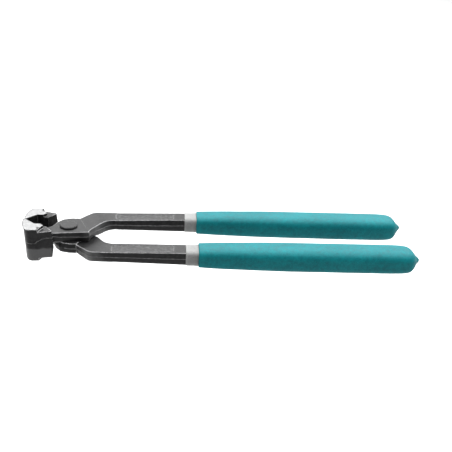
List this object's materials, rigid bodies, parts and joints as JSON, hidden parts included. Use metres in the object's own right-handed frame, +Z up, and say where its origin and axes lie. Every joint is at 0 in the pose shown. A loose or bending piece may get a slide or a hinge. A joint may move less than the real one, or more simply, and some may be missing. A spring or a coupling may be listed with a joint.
{
  "type": "hoof nipper",
  "caption": "Farrier's hoof nipper: forged halves lapped on a rivet, wide rounded jaws with ground ends, long straight reins, pale undercoat bands and teal dipped grips.",
  "frame": {"origin": "on the pivot axis, midway between the two lap plates", "axes": "+X from the pivot toward the grips, +Y toward the upper half's rein, +Z up along the rivet"},
  "size_m": [0.3826, 0.1034, 0.0338],
  "materials": {
    "forged_steel": "blackened forging scale, ground bright on the jaw ends",
    "rivet_steel": "blackened, pressed",
    "pale_dip": "thin translucent white vinyl",
    "teal_dip": "matte mottled vinyl dip"
  },
  "bodies": {
    "lower_lever": {"lower_half": "forged_steel", "pivot_rivet": "rivet_steel", "lower_undercoat": "pale_dip", "lower_grip": "teal_dip"},
    "upper_lever": {"upper_half": "forged_steel", "upper_undercoat": "pale_dip", "upper_grip": "teal_dip"}
  },
  "joints": [
    {"name": "pivot", "type": "hinge", "parent": "lower_lever", "child": "upper_lever", "pos_m": [0, 0, 0], "axis": [0, 0, 1], "range_deg": [0, 50]}
  ]
}
